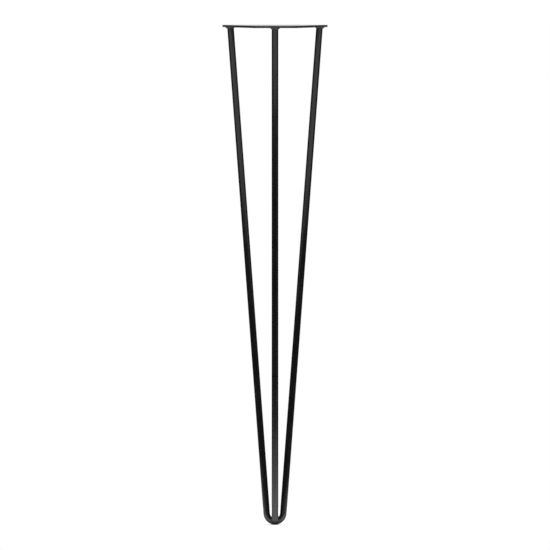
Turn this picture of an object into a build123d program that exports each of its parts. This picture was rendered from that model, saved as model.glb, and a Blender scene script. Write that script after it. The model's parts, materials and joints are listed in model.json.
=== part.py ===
from build123d import *
from math import atan2, cos, degrees, hypot, sin, sqrt
import os

# Hairpin table leg of three steel rods, welded under a plate that screws to a table top.
# The origin is on the plate's top face, straight above the foot. +Z is up, and the centre rod is in front.

# Driving dimensions, in millimetres
LEG_HEIGHT = 711.0  # floor to the plate's top face
ROD_DIAMETER = 9.525
PRONG_SPREAD = 126.8  # between the middles of the prongs' tops
PRONG_SETBACK = 36.0  # prongs' tops behind the foot
CENTRE_ROD_REACH = 72.0  # centre rod's top in front of the foot
BEND_INNER_RADIUS = 7.1
COPE_DEPTH = 3.5  # hollow in the centre rod's end, where it seats on the bend
TIP_CLEARANCE = 3.5  # floor to the centre rod's tip
PLATE_THICKNESS = 3.2
PLATE_LAND = 4.85  # plate that is left outside the welds
PLATE_NOSE_WIDTH = 65.0
PLATE_EDGE_CHAMFER = 0.4
SCREW_HOLE_DIAMETER = 5.5
SCREW_TO_PRONG = 31.4  # back screw to the prong beside it
NOSE_SCREW_INSET = 8.0  # nose screw to the nose's side
NOSE_SCREW_SETBACK = 8.0  # nose screws behind the centre rod's top
WELD_LEG = 2.0  # along the rod and along the plate
FOOT_BEAD_RADIUS = 3.0
FOOT_BEAD_SINK = 1.5  # bead's middle behind the corner that it fills
FOOT_BEAD_LEVEL = 2.0  # bead's middle above the bend's middle

# Levels and places that the pieces share
rod_radius = ROD_DIAMETER / 2
bend_radius = BEND_INNER_RADIUS + rod_radius
corner_radius = rod_radius + WELD_LEG + PLATE_LAND
plate_underside = -PLATE_THICKNESS
bend_level = -LEG_HEIGHT + rod_radius
rise = plate_underside - bend_level
mid_plane = Plane.YZ

# The hairpin lies in a plane that leans back from the foot, and each prong leaves the bend at a tangent
prong_top = Vector(PRONG_SPREAD / 2, PRONG_SETBACK, plate_underside)
lean = Plane(origin=(0, 0, bend_level), x_dir=(1, 0, 0), z_dir=(0, -rise, PRONG_SETBACK))
slant = hypot(rise, PRONG_SETBACK) - bend_radius
prong_length = sqrt(slant**2 + prong_top.X**2 - bend_radius**2)
splay = atan2(prong_top.X, slant) - atan2(bend_radius, prong_length)
prong_axis = lean.x_dir * sin(splay) + lean.y_dir * cos(splay)

# The centre rod leans forward from the front of the bend
centre_rod_top = Vector(0, -CENTRE_ROD_REACH, plate_underside)
centre_rod_foot = Vector(0, COPE_DEPTH - ROD_DIAMETER, bend_level)
centre_rod_axis = (centre_rod_top - centre_rod_foot).normalized()


def trimmed_under_plate(shape):
    """What is left of a shape below the plate's underside."""
    return split(shape, bisect_by=Plane.XY.offset(plate_underside), keep=Keep.BOTTOM)


def mounting_plate():
    """Flat plate that runs from the wide back, over the prongs, to the nose over the centre rod."""
    nose_x = PLATE_NOSE_WIDTH / 2 - corner_radius
    corners = [
        (prong_top.X, PRONG_SETBACK),
        (-prong_top.X, PRONG_SETBACK),
        (-nose_x, -CENTRE_ROD_REACH),
        (nose_x, -CENTRE_ROD_REACH),
    ]
    outline = offset(make_face(Polyline(*corners, close=True)), corner_radius, kind=Kind.ARC)
    plate = extrude(outline, -PLATE_THICKNESS)
    plate = chamfer(plate.faces().filter_by(Axis.Z).edges(), min(PLATE_EDGE_CHAMFER, 0.45 * PLATE_THICKNESS))
    back_x = PRONG_SPREAD / 2 - SCREW_TO_PRONG
    front_x = PLATE_NOSE_WIDTH / 2 - NOSE_SCREW_INSET
    front_y = NOSE_SCREW_SETBACK - CENTRE_ROD_REACH
    screws = Locations(
        (back_x, PRONG_SETBACK), (-back_x, PRONG_SETBACK), (front_x, front_y), (-front_x, front_y)
    )
    drill = Cylinder(SCREW_HOLE_DIAMETER / 2, 3 * PLATE_THICKNESS)
    return plate - [place * drill for place in screws]


def hairpin_rod():
    """One round bar bent to a narrow U, with both tops cut flush to the plate."""
    tangent = (bend_radius * cos(splay), bend_radius * (1 - sin(splay)), 0)
    section = Plane(origin=tangent, x_dir=(0, 0, 1), z_dir=(sin(splay), cos(splay), 0)) * Circle(rod_radius)
    prong = extrude(section, prong_length + ROD_DIAMETER)
    bend_axis = Axis((0, bend_radius, 0), (0, 0, 1))
    bend = revolve(section, axis=bend_axis, revolution_arc=2 * degrees(splay) - 180)
    bar = prong + bend + mirror(prong, about=mid_plane)
    return trimmed_under_plate(lean * bar)


def centre_rod(hairpin):
    """Straight bar with a ball-shaped foot, coped at the back where it seats on the front of the bend."""
    ball_level = -LEG_HEIGHT + TIP_CLEARANCE + rod_radius
    ball = centre_rod_foot + centre_rod_axis * ((ball_level - bend_level) / centre_rod_axis.Z)
    length = (centre_rod_top - ball).length + ROD_DIAMETER
    bar = Cylinder(rod_radius, length, align=(Align.CENTER, Align.CENTER, Align.MIN)) + Sphere(rod_radius)
    bar = Plane(origin=ball, x_dir=(1, 0, 0), z_dir=centre_rod_axis) * bar
    return trimmed_under_plate(bar) - hairpin


def plate_weld(top, axis, rod):
    """Fillet bead round a rod's top: a 45 degree cone about the rod, from its side out to the plate."""
    overrun = WELD_LEG / 2
    bead = Cone(rod_radius - overrun, rod_radius + WELD_LEG + overrun, WELD_LEG + 2 * overrun)
    middle = top - axis * (WELD_LEG / 2)
    bead = Plane(origin=middle, x_dir=(1, 0, 0), z_dir=axis) * bead
    return trimmed_under_plate(bead) - rod


def foot_weld(hairpin, centre):
    """Bead in the corner between the centre rod's right flank and the front of the bend.

    It is a ball whose middle is sunk behind that corner, so that a low, rounded face shows.
    """
    corner = Vector(sqrt(rod_radius**2 - (rod_radius - COPE_DEPTH) ** 2), -rod_radius, bend_level)
    inward = Vector(-1, 1, 0).normalized()
    middle = corner + inward * FOOT_BEAD_SINK + Vector(0, 0, FOOT_BEAD_LEVEL)
    bead = split(Location(middle) * Sphere(FOOT_BEAD_RADIUS), bisect_by=mid_plane, keep=Keep.TOP)
    return bead - hairpin - centre


hairpin = hairpin_rod()
centre = centre_rod(hairpin)
prong_weld = plate_weld(prong_top, prong_axis, hairpin)
bend_weld = foot_weld(hairpin, centre)
pieces = {
    "mounting_plate": mounting_plate(),
    "hairpin_rod": hairpin,
    "centre_rod": centre,
    "prong_weld_right": prong_weld,
    "prong_weld_left": mirror(prong_weld, about=mid_plane),
    "centre_rod_weld": plate_weld(centre_rod_top, centre_rod_axis, centre),
    "foot_weld_right": bend_weld,
    "foot_weld_left": mirror(bend_weld, about=mid_plane),
}

os.makedirs("parts", exist_ok=True)
for node, shape in pieces.items():
    export_step(shape, f"parts/{node}.step")
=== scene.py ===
"""Hairpin table leg: three round bars under a flat plate, welded and powder coated black."""
import json
from math import atan2, cos, hypot, pi, radians, sin, sqrt

import bmesh
import bpy
import numpy as np
from bpy.props import FloatProperty, FloatVectorProperty, PointerProperty
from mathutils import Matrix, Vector


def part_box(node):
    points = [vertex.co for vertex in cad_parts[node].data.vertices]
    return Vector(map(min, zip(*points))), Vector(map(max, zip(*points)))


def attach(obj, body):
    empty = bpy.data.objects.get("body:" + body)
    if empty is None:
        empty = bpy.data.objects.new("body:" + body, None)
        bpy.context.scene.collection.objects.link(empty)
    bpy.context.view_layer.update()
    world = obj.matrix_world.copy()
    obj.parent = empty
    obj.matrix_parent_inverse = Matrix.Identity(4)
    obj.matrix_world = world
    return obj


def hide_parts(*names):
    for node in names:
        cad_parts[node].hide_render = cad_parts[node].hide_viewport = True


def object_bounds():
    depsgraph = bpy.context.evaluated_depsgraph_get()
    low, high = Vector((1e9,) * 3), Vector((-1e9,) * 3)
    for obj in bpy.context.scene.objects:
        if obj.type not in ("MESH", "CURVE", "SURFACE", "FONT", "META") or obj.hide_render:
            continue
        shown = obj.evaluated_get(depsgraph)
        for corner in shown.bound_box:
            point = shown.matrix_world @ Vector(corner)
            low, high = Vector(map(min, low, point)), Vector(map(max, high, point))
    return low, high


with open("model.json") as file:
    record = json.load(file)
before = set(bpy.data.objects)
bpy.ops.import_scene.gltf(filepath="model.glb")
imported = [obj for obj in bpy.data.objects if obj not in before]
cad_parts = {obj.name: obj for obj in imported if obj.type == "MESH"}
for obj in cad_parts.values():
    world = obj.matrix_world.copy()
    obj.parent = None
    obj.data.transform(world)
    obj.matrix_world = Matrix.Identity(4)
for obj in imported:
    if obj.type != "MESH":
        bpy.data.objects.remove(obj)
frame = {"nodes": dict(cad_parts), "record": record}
cad_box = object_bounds()

bl_info = {
    "name": "Hairpin Table Leg",
    "version": (1, 0, 0),
    "blender": (4, 5, 0),
    "location": "3D View > Sidebar > Table Leg",
    "description": "Dresses the solids of a welded hairpin table leg and sets them in a white studio",
    "category": "Object",
}

MM = 0.001
SHARP_EDGE = radians(50)  # faces that meet at more than this keep a crisp edge


def linear_colour(hex_code):
    """An sRGB hex colour such as #1a1a1a as linear red, green and blue."""
    srgb = np.array([int(hex_code[at:at + 2], 16) for at in (1, 3, 5)]) / 255
    linear = np.where(srgb <= 0.04045, srgb / 12.92, ((srgb + 0.055) / 1.055) ** 2.4)
    return tuple(linear.tolist())


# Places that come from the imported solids, in metres
plate_low, plate_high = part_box("mounting_plate")
UNDERSIDE = plate_low.z
FLOOR = cad_box[0].z


def bar_end(node, side=0):
    """Middle of a bar's end on the plate's underside, to a tenth of a millimetre.

    It is the middle of the box round the node's points there. A side of 1 takes only those on the right.
    """
    touching = 0.01 * MM
    mesh = frame["nodes"][node].data
    points = np.empty(3 * len(mesh.vertices))
    mesh.vertices.foreach_get("co", points)
    points = points.reshape(-1, 3)
    end = points[(points[:, 2] > UNDERSIDE - touching) & (points[:, 0] * side >= 0)]
    return np.round((end.min(axis=0) + end.max(axis=0)) / 2, 4)


PRONG_TOP = bar_end("hairpin_rod", side=1)
CENTRE_TOP = bar_end("centre_rod")


class HairpinLegSizes(bpy.types.PropertyGroup):
    """Sizes of the bars, the plate and the weld beads."""

    bar_radius: FloatProperty(
        name="Bar radius", description="Radius of the round bar of the hairpin and the centre bar",
        default=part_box("centre_rod")[1].x, min=0.001, unit="LENGTH", subtype="DISTANCE", precision=5)
    bend_inner_radius: FloatProperty(
        name="Bend inner radius", description="Radius inside the bend at the foot of the hairpin",
        default=7.1 * MM, min=0.001, unit="LENGTH", subtype="DISTANCE", precision=5)
    cope_depth: FloatProperty(
        name="Cope depth", description="How deep the centre bar is hollowed out to seat on the bend",
        default=3.5 * MM, min=0.0, unit="LENGTH", subtype="DISTANCE", precision=5)
    tip_level: FloatProperty(
        name="Tip level", description="Height of the centre bar's rounded tip",
        default=round(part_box("centre_rod")[0].z, 4), unit="LENGTH", subtype="DISTANCE", precision=5)
    plate_nose_width: FloatProperty(
        name="Plate nose width", description="Width of the plate at the front, over the centre bar",
        default=65 * MM, min=0.02, unit="LENGTH", subtype="DISTANCE", precision=5)
    plate_edge_radius: FloatProperty(
        name="Plate edge radius", description="Rounding of the plate's edges and hole rims under the coat",
        default=0.5 * MM, min=0.0001, unit="LENGTH", subtype="DISTANCE", precision=5)
    bead_leg: FloatProperty(
        name="Bead leg", description="How far a bead under the plate reaches along the bar and the plate",
        default=2.0 * MM, min=0.001, unit="LENGTH", subtype="DISTANCE", precision=5)
    bead_crown: FloatProperty(
        name="Bead crown", description="How far a bead under the plate stands proud of a straight bevel",
        default=0.25 * MM, min=0.0, unit="LENGTH", subtype="DISTANCE", precision=5)
    ripple_pitch: FloatProperty(
        name="Ripple pitch", description="Distance from one weld ripple to the next",
        default=1.4 * MM, min=0.0005, unit="LENGTH", subtype="DISTANCE", precision=5)
    ripple_height: FloatProperty(
        name="Ripple height", description="Height of a weld ripple over the groove beside it",
        default=0.18 * MM, min=0.0, unit="LENGTH", subtype="DISTANCE", precision=5)
    foot_bead_radius: FloatProperty(
        name="Foot bead radius", description="Radius of the rounded bead beside the centre bar's foot",
        default=3.0 * MM, min=0.001, unit="LENGTH", subtype="DISTANCE", precision=5)
    foot_bead_sink: FloatProperty(
        name="Foot bead sink", description="Depth of a foot bead's middle behind the corner that it fills",
        default=1.5 * MM, min=0.0, unit="LENGTH", subtype="DISTANCE", precision=5)
    foot_bead_rise: FloatProperty(
        name="Foot bead rise",
        description="Height of a foot bead's middle over the bar's middle at the bend's lowest point",
        default=2.0 * MM, min=0.0, unit="LENGTH", subtype="DISTANCE", precision=5)


class HairpinLegFinish(bpy.types.PropertyGroup):
    """Colour and surface of the powder coat."""

    coat_colour: FloatVectorProperty(
        name="Coat colour", description="Colour of the powder coat where it lies thick",
        default=linear_colour("#0d0d0d"), size=3, min=0.0, max=1.0, subtype="COLOR")
    thin_coat_colour: FloatVectorProperty(
        name="Thin coat colour", description="Colour of the powder coat where it lies thin",
        default=linear_colour("#141414"), size=3, min=0.0, max=1.0, subtype="COLOR")
    coat_roughness: FloatProperty(
        name="Coat roughness", description="Roughness of the satin coat",
        default=0.22, min=0.0, max=1.0, subtype="FACTOR")
    peel_size: FloatProperty(
        name="Orange peel size", description="Distance between the small waves left by the molten powder",
        default=2.5 * MM, min=0.0005, unit="LENGTH", subtype="DISTANCE", precision=5)
    peel_height: FloatProperty(
        name="Orange peel height", description="Height of those waves",
        default=0.04 * MM, min=0.0, unit="LENGTH", subtype="DISTANCE", precision=6)


class HairpinLegStage(bpy.types.PropertyGroup):
    """Floor and camera of the white studio."""

    camera_distance: FloatProperty(
        name="Camera distance", description="Distance of the camera from the middle of the leg",
        default=23.0, min=1.0, unit="LENGTH", subtype="DISTANCE")
    camera_rise: FloatProperty(
        name="Camera rise", description="Angle by which the camera looks down on the leg",
        default=radians(1.6), unit="ROTATION", subtype="ANGLE")
    view_height: FloatProperty(
        name="View height", description="Height of what the square picture shows at the leg",
        default=0.7826, min=0.1, unit="LENGTH", subtype="DISTANCE")
    floor_colour: FloatVectorProperty(
        name="Floor colour", description="Colour of the paper that the leg stands on",
        default=linear_colour("#f2f2f2"), size=3, min=0.0, max=1.0, subtype="COLOR")


def add_node(tree, kind, inputs=None, **settings):
    """Adds a node with its settings; each of its inputs is a value to store or an output to link."""
    node = tree.nodes.new(kind)
    for name, value in settings.items():
        setattr(node, name, value)
    for socket, value in (inputs or {}).items():
        if isinstance(value, bpy.types.NodeSocket):
            tree.links.new(value, node.inputs[socket])
        else:
            node.inputs[socket].default_value = value
    return node


# Finishes of the leg

def powder_coat(name, finish, roughness_gain=0.0, peel_gain=1.0):
    """Satin black polyester powder on steel, sprayed on dry and baked until it flows.

    It gives the eye a deep neutral black with a soft, wide highlight. The molten powder leaves small waves
    known as orange peel, and a coat that is thicker in one place than in another, so its black and its
    sheen drift over a few centimetres.
    """
    polyester_ior = 1.55
    drift_size = 30 * MM
    sheen_drift = 0.05
    noise_low, noise_high = 0.3, 0.7  # most of the noise lies between these
    made = bpy.data.materials.get(name)
    if made:
        return made
    made = bpy.data.materials.new(name)
    made.use_nodes = True
    tree = made.node_tree
    tree.nodes.clear()
    place = add_node(tree, "ShaderNodeTexCoord").outputs["Object"]
    drift = add_node(tree, "ShaderNodeTexNoise", {
        "Vector": place, "Scale": 1 / drift_size, "Detail": 3.0, "Roughness": 0.55}).outputs["Fac"]
    colour = add_node(tree, "ShaderNodeMix", {
        "Factor": drift, "A": (*finish.thin_coat_colour, 1.0), "B": (*finish.coat_colour, 1.0)},
        data_type="RGBA").outputs["Result"]
    roughness = add_node(tree, "ShaderNodeMapRange", {
        "Value": drift, "From Min": noise_low, "From Max": noise_high,
        "To Min": finish.coat_roughness + roughness_gain + sheen_drift,
        "To Max": finish.coat_roughness + roughness_gain - sheen_drift}).outputs["Result"]
    # The real waves are a few thousandths of a millimetre high and are drawn higher, so that they show
    peel = add_node(tree, "ShaderNodeTexNoise", {
        "Vector": place, "Scale": 1 / finish.peel_size, "Detail": 1.0, "Roughness": 0.4}).outputs["Fac"]
    normal = add_node(tree, "ShaderNodeBump", {
        "Strength": 1.0, "Distance": finish.peel_height * peel_gain, "Height": peel}).outputs["Normal"]
    shader = add_node(tree, "ShaderNodeBsdfPrincipled", {
        "Base Color": colour, "Roughness": roughness, "IOR": polyester_ior, "Metallic": 0.0,
        "Normal": normal})
    add_node(tree, "ShaderNodeOutputMaterial", {"Surface": shader.outputs["BSDF"]})
    return made


def bar_coat(finish):
    """The coat on smooth drawn bar."""
    return powder_coat("satin_black_powder_coat_on_bar", finish)


def plate_coat(finish):
    """The coat on flat rolled plate."""
    return powder_coat("satin_black_powder_coat_on_plate", finish)


def weld_coat(finish):
    """The coat over a weld, where it flows less evenly: a little duller, with more orange peel."""
    return powder_coat("satin_black_powder_coat_over_weld", finish, roughness_gain=0.06, peel_gain=1.5)


# Making a mesh into a piece

def grid_faces(rows, columns, join_rows=False):
    """Quads of a grid whose points are numbered row by row.

    A row's end runs on into its start, and so does the last row into the first where rows are joined.
    """
    row = np.arange(rows if join_rows else rows - 1)[:, None]
    column = np.arange(columns)[None, :]
    next_row, next_column = (row + 1) % rows, (column + 1) % columns
    corners = np.broadcast_arrays(
        row * columns + column, row * columns + next_column,
        next_row * columns + next_column, next_row * columns + column)
    return np.stack(corners, axis=-1).reshape(-1, 4)


def fill_flat_faces(shell):
    """Fills an upper and a lower flat face, each between the rims that are open at its level."""
    rims = [edge for edge in shell.edges if edge.is_boundary]
    levels = [edge.verts[0].co.z for edge in rims]
    halfway = (min(levels) + max(levels)) / 2
    for upper in (True, False):
        bounds = [edge for edge, level in zip(rims, levels) if (level > halfway) == upper]
        bmesh.ops.triangle_fill(shell, use_beauty=True, edges=bounds)


def add_piece(context, name, points, faces, node, coat, flat_faces=False):
    """Makes a closed piece with its faces outward, in place of the node that it stands for."""
    mesh = bpy.data.meshes.new(name)
    mesh.from_pydata(np.asarray(points).reshape(-1, 3).tolist(), [], faces)
    shell = bmesh.new()
    shell.from_mesh(mesh)
    if flat_faces:
        fill_flat_faces(shell)
    bmesh.ops.recalc_face_normals(shell, faces=shell.faces)
    open_edges = sum(not edge.is_manifold for edge in shell.edges)
    shell.to_mesh(mesh)
    shell.free()
    if open_edges:
        raise RuntimeError(f"{name} is not closed: {open_edges} edges are open")
    mesh.shade_smooth()
    mesh.set_sharp_from_angle(angle=SHARP_EDGE)
    mesh.materials.append(coat)
    piece = bpy.data.objects.new(name, mesh)
    context.scene.collection.objects.link(piece)
    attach(piece, "root")
    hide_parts(node)


# Middle lines of the bars

class Hairpin:
    """The hairpin's middle line: a bend in a leaning plane, and prongs that leave it at a tangent."""

    def __init__(self, sizes):
        self.radius = sizes.bar_radius
        self.bend = sizes.bend_inner_radius + self.radius
        self.low = np.array((0.0, 0.0, FLOOR + self.radius))
        climb = PRONG_TOP - self.low
        reach = hypot(climb[1], climb[2])
        self.across = np.array((1.0, 0.0, 0.0))
        self.up = np.array((0.0, climb[1], climb[2])) / reach
        self.front = np.cross(self.across, self.up)
        slant = reach - self.bend
        self.prong_length = sqrt(slant**2 + climb[0]**2 - self.bend**2)
        self.splay = atan2(climb[0], slant) - atan2(self.bend, self.prong_length)
        self.prong_axis = self.across * sin(self.splay) + self.up * cos(self.splay)

    def in_plane(self, points):
        """Distances along the plane's across, up and front directions, from the line's lowest point."""
        offset = points - self.low
        return offset @ self.across, offset @ self.up, offset @ self.front

    def bend_distance(self, points):
        """How far each point is outside the bar at the bend, a ring of round section in that plane."""
        along, over, ahead = self.in_plane(points)
        return np.hypot(np.hypot(along, over - self.bend) - self.bend, ahead) - self.radius

    def seat(self, points):
        """Brings points that lie inside the bend forward to its front, as a coped end seats on it."""
        along, over, ahead = self.in_plane(points)
        off_line = np.hypot(along, over - self.bend) - self.bend
        surface = np.sqrt(np.maximum(self.radius**2 - off_line**2, 0))
        lift = np.where(np.abs(off_line) < self.radius, np.maximum(surface - ahead, 0), 0)
        return points + lift[..., None] * self.front


class CentreBar:
    """The centre bar's middle line, from the ball at its foot up to the plate's nose."""

    def __init__(self, sizes):
        self.radius = sizes.bar_radius
        foot = np.array((0.0, sizes.cope_depth - 2 * self.radius, FLOOR + self.radius))
        self.axis = (CENTRE_TOP - foot) / np.linalg.norm(CENTRE_TOP - foot)
        self.ball = foot + self.axis * ((sizes.tip_level + self.radius - foot[2]) / self.axis[2])
        self.length = np.linalg.norm(CENTRE_TOP - self.ball)

    def distance(self, points):
        """How far each point is outside the bar, a line with round sides and a ball at its foot."""
        offset = points - self.ball
        along = np.maximum(offset @ self.axis, 0)
        return np.linalg.norm(offset - along[..., None] * self.axis, axis=-1) - self.radius


def cross_directions(axis):
    """Two directions square to an axis and to each other; the first runs sideways, with no part along Y."""
    sideways = np.cross(axis, (0.0, 1.0, 0.0))
    sideways /= np.linalg.norm(sideways)
    return sideways, np.cross(axis, sideways)


def slide_to_plate(ring, axis):
    """Moves a ring of points along a bar until they lie on the plate's underside."""
    return ring + ((UNDERSIDE - ring[:, 2]) / axis[2])[:, None] * axis


# Surfaces of the pieces

def hairpin_surface(sizes, around=72, prong_rings=72, bend_rings=49):
    """Round section carried along the hairpin's middle line, with its end rings cut flush to the plate.

    The line runs down one prong, round the bend's arc and up the other prong. A point is the line's point
    plus the bar radius times (cos t along the normal in the leaning plane + sin t to the front).
    """
    line = Hairpin(sizes)
    climb = np.linspace(0, line.prong_length, prong_rings + 1)[1:]
    turn = np.linspace(line.splay - pi, -line.splay, bend_rings)
    tangent = line.bend * cos(line.splay), line.bend * (1 - sin(line.splay))
    prong = np.stack((tangent[0] + climb * sin(line.splay), tangent[1] + climb * cos(line.splay)), axis=1)
    bend = np.stack((line.bend * np.cos(turn), line.bend * (1 + np.sin(turn))), axis=1)
    path = np.concatenate((prong[::-1] * (-1, 1), bend, prong))
    heading = np.concatenate((np.full(prong_rings, turn[0]), turn, np.full(prong_rings, turn[-1])))
    t = np.linspace(0, 2 * pi, around, endpoint=False)
    middle = line.low + path[:, :1] * line.across + path[:, 1:] * line.up
    outward = np.cos(heading)[:, None] * line.across + np.sin(heading)[:, None] * line.up
    points = middle[:, None] + line.radius * (
        np.cos(t)[None, :, None] * outward[:, None] + np.sin(t)[None, :, None] * line.front)
    points[0] = slide_to_plate(points[0], line.prong_axis * (-1, 1, 1))
    points[-1] = slide_to_plate(points[-1], line.prong_axis)
    rings = len(path)
    faces = grid_faces(rings, around).tolist()
    faces += [list(range(around)), list(range((rings - 1) * around, rings * around))]
    return points, faces


def centre_bar_surface(sizes, around=96, ball_rings=16, cope_rings=36, shaft_rings=72):
    """A ball foot and a straight side turned about the centre bar's axis, then coped to the bend.

    The profile is a quarter circle from the tip out to the bar radius, then a straight line up to the plate,
    with closer rings in the stretch that seats on the bend. Points of it that fall inside the bend come
    forward to the bend's front.
    """
    bar, line = CentreBar(sizes), Hairpin(sizes)
    seated = 4 * bar.radius
    tip = np.linspace(-pi / 2, 0, ball_rings + 1)[1:]
    coped = np.linspace(0, seated, cope_rings + 1)[1:]
    shaft = np.linspace(seated, bar.length, shaft_rings + 1)[1:]
    along = np.concatenate((bar.radius * np.sin(tip), coped, shaft))
    out = np.concatenate((bar.radius * np.cos(tip), np.full(cope_rings + shaft_rings, bar.radius)))
    t = np.linspace(0, 2 * pi, around, endpoint=False)
    sideways, square = cross_directions(bar.axis)
    spoke = np.cos(t)[:, None] * sideways + np.sin(t)[:, None] * square
    points = bar.ball + along[:, None, None] * bar.axis + out[:, None, None] * spoke
    points[-1] = slide_to_plate(points[-1], bar.axis)
    rings = len(along)
    pole = bar.ball - bar.radius * bar.axis
    points = line.seat(np.vstack((points.reshape(-1, 3), pole)))
    first = np.arange(around)
    cap = np.stack((first, np.roll(first, -1), np.full(around, rings * around)), axis=1)
    faces = grid_faces(rings, around).tolist() + cap.tolist()
    faces.append(list(range((rings - 1) * around, rings * around)))
    return points, faces


def plate_surface(sizes, corner_steps=25, hole_steps=56, edge_steps=6):
    """A rounded edge profile carried round the plate's outline and, turned over, round each screw hole.

    The outline is a four-cornered figure grown outward by the corner radius: a corner's middle plus that
    radius times the outward direction, which turns from one side's normal to the next. The profile starts
    a little inside the edge on the top face, follows a quarter circle to the side, drops, and does the same
    to the underside. The top face is at height 0. Both flat faces are left open.
    """
    corner_radius = plate_high.y - PRONG_TOP[1]
    back_corner, nose_y = PRONG_TOP[:2], CENTRE_TOP[1]
    nose_x = sizes.plate_nose_width / 2 - corner_radius
    corners = np.array((back_corner, back_corner * (-1, 1), (-nose_x, nose_y), (nose_x, nose_y)))
    sides = np.roll(corners, -1, axis=0) - corners
    normals = np.arctan2(-sides[:, 0], sides[:, 1])
    before = np.roll(normals, 1)
    turn = np.mod(normals - before, 2 * pi)
    angle = (before[:, None] + turn[:, None] * np.linspace(0, 1, corner_steps)).ravel()
    outward = np.stack((np.cos(angle), np.sin(angle)), axis=1)
    middles = np.repeat(corners, corner_steps, axis=0)
    t = np.linspace(0, 2 * pi, hole_steps, endpoint=False)
    circle = np.stack((np.cos(t), np.sin(t)), axis=1)

    edge, thick = sizes.plate_edge_radius, plate_high.z - plate_low.z
    margin = 3 * edge
    bend = np.linspace(0, pi / 2, edge_steps + 1)
    inset = np.concatenate(((margin,), edge * (1 - np.sin(bend))))
    drop = np.concatenate(((0.0,), -edge * (1 - np.cos(bend))))
    inset, drop = np.concatenate((inset, inset[::-1])), np.concatenate((drop, -thick - drop[::-1]))

    def band(place, directions, reach):
        """The profile's points: at its heights, a place plus its reach in each direction."""
        flat = place + reach[:, None, None] * directions
        height = np.broadcast_to(drop[:, None, None], (*flat.shape[:2], 1))
        return np.concatenate((flat, height), axis=2)

    rim = band(middles, outward, corner_radius - inset)
    points, faces = [rim.reshape(-1, 3)], [grid_faces(*rim.shape[:2])]
    for mount in frame["record"]["mounts"]:
        if mount["kind"] != "bolt_pattern":
            continue
        spacing, hole_radius = mount["dims"]["spacing_x_mm"] * MM, mount["dims"]["hole_r_mm"] * MM
        for side in (-0.5, 0.5):
            place = np.array(mount["pos_m"][:2]) + (side * spacing, 0)
            hole = band(place, circle, hole_radius + inset)
            faces.append(grid_faces(*hole.shape[:2]) + sum(len(part) for part in points))
            points.append(hole.reshape(-1, 3))
    return np.vstack(points), np.vstack(faces).tolist()


def ripple(steps):
    """Height of a weld's overlapping pools, from 0 in the groove to 1 at the crest: one minus a square."""
    return 1 - (2 * np.mod(steps, 1) - 1) ** 2


def plate_bead_surface(sizes, top, axis, phase, across=14, steps=14):
    """A fillet bead turned about a bar, from its side out to the plate's underside.

    Across, the face runs straight from the toe on the bar to the toe on the plate and swells by a half sine.
    Round the bar the ripples are crescents: their count along the seam is pushed on in the middle of the
    face. Two sines of the turn make the leg wider here and narrower there, as on a bead laid by hand.
    """
    wide_wobble, short_wobble = 0.04, 0.03  # shares of the leg
    crescent_push = 0.8  # ripples by which the middle of the face runs ahead of the toes
    rest_level = 0.6  # height of a ripple, of 1, that leaves the face where it is
    toe_fade = 0.6  # power of the swell by which the ripples fade out at the toes
    radius = sizes.bar_radius
    count = round(2 * pi * (radius + sizes.bead_leg / 2) / sizes.ripple_pitch)
    t = np.linspace(0, 2 * pi, count * steps, endpoint=False)[:, None]
    v = np.linspace(0, 1, across)[None, :]
    sideways, square = cross_directions(axis)
    spoke = np.cos(t) * sideways + np.sin(t) * square
    tilt = (spoke[:, 2] / axis[2])[:, None]
    leg = sizes.bead_leg * (
        1 + wide_wobble * np.sin(2 * t + phase) + short_wobble * np.sin(5 * t + 2 * phase))
    toe_out = (radius + leg) / (1 + tilt)
    swell = np.sin(pi * v)
    pools = ripple(t * count / (2 * pi) + crescent_push * swell + phase) - rest_level
    lift = sizes.bead_crown * swell + sizes.ripple_height * swell**toe_fade * pools
    along = -leg * (1 - v) - toe_out * tilt * v - lift / sqrt(2)
    out = radius * (1 - v) + toe_out * v + lift / sqrt(2)
    along = np.concatenate((along, -radius * tilt), axis=1)
    out = np.concatenate((out, np.full_like(tilt, radius)), axis=1)
    points = top + along[..., None] * axis + out[..., None] * spoke[:, None]
    return points, grid_faces(len(t), across + 1, join_rows=True).tolist()


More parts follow.
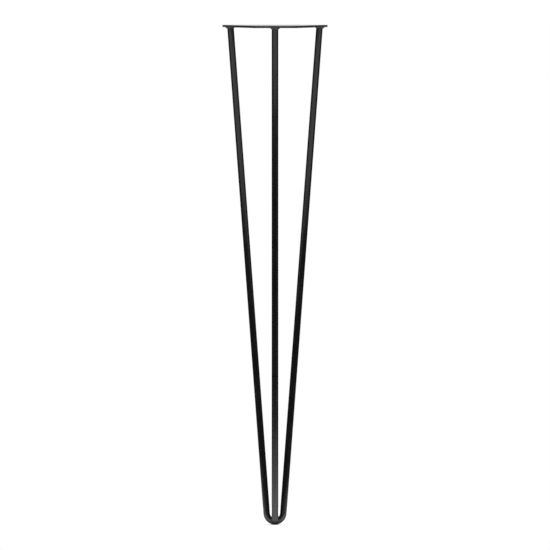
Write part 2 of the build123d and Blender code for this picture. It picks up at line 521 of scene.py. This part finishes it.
def foot_bead_surface(sizes, side, rings=72, around=144):
    """The bead in the corner between the centre bar's flank and the front of the bend.

    From a point inside the bead a ray goes out in every direction, by latitude and longitude, and stops
    where it meets the bead's rippled ball, or a little inside the bend or the centre bar. Each step along it
    is a share of the distance that is left. The ripples are crescents, a raised cosine of the height less a
    square of the place across the bead, and fade out at the bars.
    """
    start_ahead, start_height = 0.7 * MM, 0.7  # in front of the corner, and as a share of the bead's rise
    sunk = 0.1 * MM  # into the bars, so that no gap shows
    fade = 1.0 * MM  # from the bars to ripples of full height
    rest_level, swing = 0.3, 0.7  # of the ripple height
    arch = 0.25  # bow of the crescents
    across_bead = np.array((0.7, 0.7, 0.0))
    step_share, steps = 0.7, 80
    line, bar = Hairpin(sizes), CentreBar(sizes)
    flank = sqrt(line.radius**2 - (line.radius - sizes.cope_depth) ** 2)
    corner = np.array((flank, -line.radius, line.low[2]))
    outward = np.array((1.0, -1.0, 0.0)) / sqrt(2)
    middle = corner - sizes.foot_bead_sink * outward + (0, 0, sizes.foot_bead_rise)
    start = corner + start_ahead * outward + (0, 0, start_height * sizes.foot_bead_rise)
    latitude = np.linspace(0, pi, rings + 2)[1:-1, None]
    longitude = np.linspace(0, 2 * pi, around, endpoint=False)[None, :]
    rays = np.stack(np.broadcast_arrays(
        np.sin(latitude) * np.cos(longitude), np.sin(latitude) * np.sin(longitude), np.cos(latitude)),
        axis=-1)
    rays = np.vstack((rays.reshape(-1, 3), (0, 0, 1), (0, 0, -1)))
    reach = np.zeros(len(rays))
    for _ in range(steps):
        points = start + reach[:, None] * rays
        offset = points - middle
        gap = np.minimum(line.bend_distance(points), bar.distance(points))
        along, across = offset[:, 2] / sizes.ripple_pitch, offset @ across_bead / sizes.ripple_pitch
        pools = rest_level - swing * np.cos(2 * pi * (along - arch * across**2))
        pools *= np.clip(gap / fade, 0, 1)
        ball = np.linalg.norm(offset, axis=1) - sizes.foot_bead_radius - sizes.ripple_height * pools
        reach -= step_share * np.maximum(ball, -gap - sunk)
    points = (start + reach[:, None] * rays) * (side, 1, 1)
    first, last = np.arange(around), np.arange((rings - 1) * around, rings * around)
    poles = np.full(around, rings * around)
    faces = grid_faces(rings, around).tolist()
    faces += np.stack((first, np.roll(first, -1), poles), axis=1).tolist()
    faces += np.stack((np.roll(last, -1), last, poles + 1), axis=1).tolist()
    return points, faces


# The white studio

def add_camera(scene, stage):
    """A long lens far in front of the leg, aimed at its middle and looking slightly down on it."""
    sensor = 36.0
    aim = (cad_box[0].z + cad_box[1].z) / 2
    camera = bpy.data.cameras.new("front_camera")
    camera.sensor_width = sensor
    camera.lens = sensor * stage.camera_distance / stage.view_height
    camera.clip_end = 2 * stage.camera_distance
    holder = bpy.data.objects.new("front_camera", camera)
    away = stage.camera_distance * cos(stage.camera_rise)
    over = stage.camera_distance * sin(stage.camera_rise)
    holder.location = (0.0, -away, aim + over)
    holder.rotation_euler = (pi / 2 - stage.camera_rise, 0.0, 0.0)
    scene.collection.objects.link(holder)
    scene.camera = holder


def seen_directly(tree, ray):
    """1 for a ray that comes from the camera or through something clear, and 0 for any other."""
    return add_node(tree, "ShaderNodeMath", {
        0: ray.outputs["Is Camera Ray"], 1: ray.outputs["Is Transmission Ray"]},
        operation="MAXIMUM").outputs[0]


def add_white_room(scene):
    """The room round the leg, which the camera sees as plain white.

    A reflection shows a white wall behind the leg, a soft glow from the ceiling and a dark room on the
    camera's side. Matt surfaces get an even light from all round.
    """
    white = (*linear_colour("#ffffff"), 1.0)
    even_light = 0.7
    back_wall = {"From Min": 0.7, "From Max": 1.0, "To Min": 0.01, "To Max": 1.0}
    ceiling_glow = {"From Min": 0.25, "From Max": 0.6, "To Min": 0.0, "To Max": 0.6}
    world = bpy.data.worlds.new("white_studio")
    world.use_nodes = True
    tree = world.node_tree
    tree.nodes.clear()
    ray = add_node(tree, "ShaderNodeLightPath")
    toward = add_node(tree, "ShaderNodeSeparateXYZ", {
        "Vector": add_node(tree, "ShaderNodeTexCoord").outputs["Generated"]})
    wall = add_node(tree, "ShaderNodeMapRange", {
        "Value": toward.outputs["Y"], **back_wall}, interpolation_type="SMOOTHSTEP")
    ceiling = add_node(tree, "ShaderNodeMapRange", {
        "Value": toward.outputs["Z"], **ceiling_glow}, interpolation_type="SMOOTHSTEP")
    brightest = add_node(tree, "ShaderNodeMath", {
        0: wall.outputs["Result"], 1: ceiling.outputs["Result"]}, operation="MAXIMUM")
    mirrored = add_node(tree, "ShaderNodeBackground", {"Color": white, "Strength": brightest.outputs[0]})
    fill = add_node(tree, "ShaderNodeBackground", {"Color": white, "Strength": even_light})
    plain = add_node(tree, "ShaderNodeBackground", {"Color": white, "Strength": 1.0})
    lit = add_node(tree, "ShaderNodeMixShader", {
        0: ray.outputs["Is Glossy Ray"], 1: fill.outputs[0], 2: mirrored.outputs[0]})
    shown = add_node(tree, "ShaderNodeMixShader", {
        0: seen_directly(tree, ray), 1: lit.outputs[0], 2: plain.outputs[0]})
    add_node(tree, "ShaderNodeOutputWorld", {"Surface": shown.outputs[0]})
    scene.world = world


def matt_white_paper(colour):
    """Background paper, matt and smooth.

    It gives the eye a plain white with a soft shadow round the foot, partly cast by the lamps on the matt
    paper and partly painted. A glow that shows only to the camera and in reflections lifts the paper to white
    and fades out towards the foot by distance alone: that fade is the painted shadow. From below the paper
    isn't there.
    """
    glow_strength = 0.42
    # Distances from the foot over which the painted shadow fades back into the glow
    painted_shadow_edge = {"From Min": 2 * MM, "From Max": 20 * MM, "To Min": 0.0, "To Max": glow_strength}
    paper = bpy.data.materials.new("matt_white_paper")
    paper.use_nodes = True
    tree = paper.node_tree
    tree.nodes.clear()
    ray = add_node(tree, "ShaderNodeLightPath")
    matt = add_node(tree, "ShaderNodeBsdfDiffuse", {"Color": (*colour, 1.0)})
    shown = add_node(tree, "ShaderNodeMath", {
        0: seen_directly(tree, ray), 1: ray.outputs["Is Glossy Ray"]}, operation="MAXIMUM")
    place = add_node(tree, "ShaderNodeTexCoord").outputs["Object"]
    # Painted shadow: the glow is cut by distance from the foot alone, whatever the lamps do
    from_foot = add_node(tree, "ShaderNodeVectorMath", {
        0: place, 1: (0.0, 0.0, FLOOR)}, operation="DISTANCE")
    outside_painted_shadow = add_node(tree, "ShaderNodeMapRange", {
        "Value": from_foot.outputs["Value"], **painted_shadow_edge}, interpolation_type="SMOOTHSTEP")
    lift = add_node(tree, "ShaderNodeMath", {
        0: shown.outputs[0], 1: outside_painted_shadow.outputs["Result"]}, operation="MULTIPLY")
    glow = add_node(tree, "ShaderNodeEmission", {"Strength": lift.outputs[0]})
    above = add_node(tree, "ShaderNodeAddShader", {0: matt.outputs[0], 1: glow.outputs[0]})
    clear = add_node(tree, "ShaderNodeBsdfTransparent")
    below = add_node(tree, "ShaderNodeNewGeometry").outputs["Backfacing"]
    sheet = add_node(tree, "ShaderNodeMixShader", {0: below, 1: above.outputs[0], 2: clear.outputs[0]})
    add_node(tree, "ShaderNodeOutputMaterial", {"Surface": sheet.outputs[0]})
    return paper


def add_paper_floor(scene, stage):
    """A sheet of paper that the leg stands on."""
    side, front, back = 0.6, -0.5, 0.6
    corners = [(-side, front, FLOOR), (side, front, FLOOR), (side, back, FLOOR), (-side, back, FLOOR)]
    mesh = bpy.data.meshes.new("floor")
    mesh.from_pydata(corners, [], [(0, 1, 2, 3)])
    mesh.materials.append(matt_white_paper(stage.floor_colour))
    floor = bpy.data.objects.new("floor", mesh)
    scene.collection.objects.link(floor)


def add_softbox(scene, name, place, aim, width, height, watts):
    """A wide soft lamp that points from its place at its aim and isn't itself in the picture."""
    lamp = bpy.data.lights.new(name, "AREA")
    lamp.shape, lamp.size, lamp.size_y, lamp.energy = "RECTANGLE", width, height, watts
    softbox = bpy.data.objects.new(name, lamp)
    softbox.location = place
    softbox.rotation_euler = (Vector(aim) - Vector(place)).to_track_quat("-Z", "Y").to_euler()
    softbox.visible_camera = False
    scene.collection.objects.link(softbox)


# Operators, panel and registration

class HAIRPINLEG_OT_hairpin_bar(bpy.types.Operator):
    """Make the bar that is bent to a narrow U, with both prongs"""
    bl_idname = "hairpin_leg.hairpin_bar"
    bl_label = "Hairpin Bar"

    def execute(self, context):
        points, faces = hairpin_surface(context.scene.hairpin_leg_sizes)
        coat = bar_coat(context.scene.hairpin_leg_finish)
        add_piece(context, "hairpin_bar", points, faces, "hairpin_rod", coat)
        return {"FINISHED"}


class HAIRPINLEG_OT_centre_bar(bpy.types.Operator):
    """Make the straight bar in front, coped at its foot to seat on the bend"""
    bl_idname = "hairpin_leg.centre_bar"
    bl_label = "Centre Bar"

    def execute(self, context):
        points, faces = centre_bar_surface(context.scene.hairpin_leg_sizes)
        coat = bar_coat(context.scene.hairpin_leg_finish)
        add_piece(context, "centre_bar", points, faces, "centre_rod", coat)
        return {"FINISHED"}


class HAIRPINLEG_OT_plate(bpy.types.Operator):
    """Make the mounting plate with its screw holes"""
    bl_idname = "hairpin_leg.plate"
    bl_label = "Mounting Plate"

    def execute(self, context):
        points, faces = plate_surface(context.scene.hairpin_leg_sizes)
        coat = plate_coat(context.scene.hairpin_leg_finish)
        add_piece(context, "plate", points, faces, "mounting_plate", coat, flat_faces=True)
        return {"FINISHED"}


class HAIRPINLEG_OT_plate_beads(bpy.types.Operator):
    """Make the three fillet beads under the plate"""
    bl_idname = "hairpin_leg.plate_beads"
    bl_label = "Plate Beads"

    def execute(self, context):
        sizes = context.scene.hairpin_leg_sizes
        coat = weld_coat(context.scene.hairpin_leg_finish)
        prong_axis = Hairpin(sizes).prong_axis
        # Piece, node, the bar's top and axis, and a shift of ripples and wobble that makes each bead differ
        seams = (
            ("prong_bead_right", "prong_weld_right", PRONG_TOP, prong_axis, 0.0),
            ("prong_bead_left", "prong_weld_left", PRONG_TOP * (-1, 1, 1), prong_axis * (-1, 1, 1), 1.1),
            ("centre_bar_bead", "centre_rod_weld", CENTRE_TOP, CentreBar(sizes).axis, 2.3),
        )
        for name, node, top, axis, phase in seams:
            points, faces = plate_bead_surface(sizes, top, axis, phase)
            add_piece(context, name, points, faces, node, coat)
        return {"FINISHED"}


class HAIRPINLEG_OT_foot_beads(bpy.types.Operator):
    """Make the two beads that hold the centre bar to the bend"""
    bl_idname = "hairpin_leg.foot_beads"
    bl_label = "Foot Beads"

    def execute(self, context):
        coat = weld_coat(context.scene.hairpin_leg_finish)
        flanks = (
            ("foot_bead_right", "foot_weld_right", 1),
            ("foot_bead_left", "foot_weld_left", -1),
        )
        for name, node, side in flanks:
            points, faces = foot_bead_surface(context.scene.hairpin_leg_sizes, side)
            add_piece(context, name, points, faces, node, coat)
        return {"FINISHED"}


class HAIRPINLEG_OT_stage(bpy.types.Operator):
    """Make the white floor, the studio light and the camera"""
    bl_idname = "hairpin_leg.stage"
    bl_label = "Stage"

    def execute(self, context):
        scene, stage = context.scene, context.scene.hairpin_leg_stage
        add_camera(scene, stage)
        add_white_room(scene)
        add_paper_floor(scene, stage)
        # Name, place, aim, width, height and watts
        softboxes = (
            ("overhead_softbox", (0.35, 0.6, 0.95), (0.0, 0.0, FLOOR), 1.1, 1.0, 1.2),
            ("front_softbox", (0.0, -0.55, 0.15), (0.0, 0.0, 0.15), 3.0, 0.74, 6.0),
            ("floor_softbox", (0.0, -0.092, FLOOR + 1 * MM), (0.0, -0.092, 1.0), 0.5, 0.16, 0.2),
        )
        for softbox in softboxes:
            add_softbox(scene, *softbox)
        scene.view_settings.view_transform = "Standard"
        return {"FINISHED"}


class HAIRPINLEG_PT_panel(bpy.types.Panel):
    """Sizes, finish, stage and pieces of the hairpin table leg"""
    bl_idname = "HAIRPINLEG_PT_panel"
    bl_label = "Hairpin Table Leg"
    bl_space_type = "VIEW_3D"
    bl_region_type = "UI"
    bl_category = "Table Leg"

    def draw(self, context):
        scene = context.scene
        for group in (scene.hairpin_leg_sizes, scene.hairpin_leg_finish, scene.hairpin_leg_stage):
            box = self.layout.box()
            for name in group.__annotations__:
                box.prop(group, name)
        for operator in OPERATORS:
            self.layout.operator(operator.bl_idname)


OPERATORS = (
    HAIRPINLEG_OT_hairpin_bar,
    HAIRPINLEG_OT_centre_bar,
    HAIRPINLEG_OT_plate,
    HAIRPINLEG_OT_plate_beads,
    HAIRPINLEG_OT_foot_beads,
    HAIRPINLEG_OT_stage,
)
CLASSES = (HairpinLegSizes, HairpinLegFinish, HairpinLegStage, *OPERATORS, HAIRPINLEG_PT_panel)


def register():
    for kind in CLASSES:
        bpy.utils.register_class(kind)
    bpy.types.Scene.hairpin_leg_sizes = PointerProperty(type=HairpinLegSizes)
    bpy.types.Scene.hairpin_leg_finish = PointerProperty(type=HairpinLegFinish)
    bpy.types.Scene.hairpin_leg_stage = PointerProperty(type=HairpinLegStage)


def unregister():
    del bpy.types.Scene.hairpin_leg_stage
    del bpy.types.Scene.hairpin_leg_finish
    del bpy.types.Scene.hairpin_leg_sizes
    for kind in reversed(CLASSES):
        bpy.utils.unregister_class(kind)


def main():
    """Makes the leg and its stage."""
    register()
    bpy.ops.hairpin_leg.hairpin_bar()
    bpy.ops.hairpin_leg.centre_bar()
    bpy.ops.hairpin_leg.plate()
    bpy.ops.hairpin_leg.plate_beads()
    bpy.ops.hairpin_leg.foot_beads()
    bpy.ops.hairpin_leg.stage()


if __name__ == "__main__":
    main()
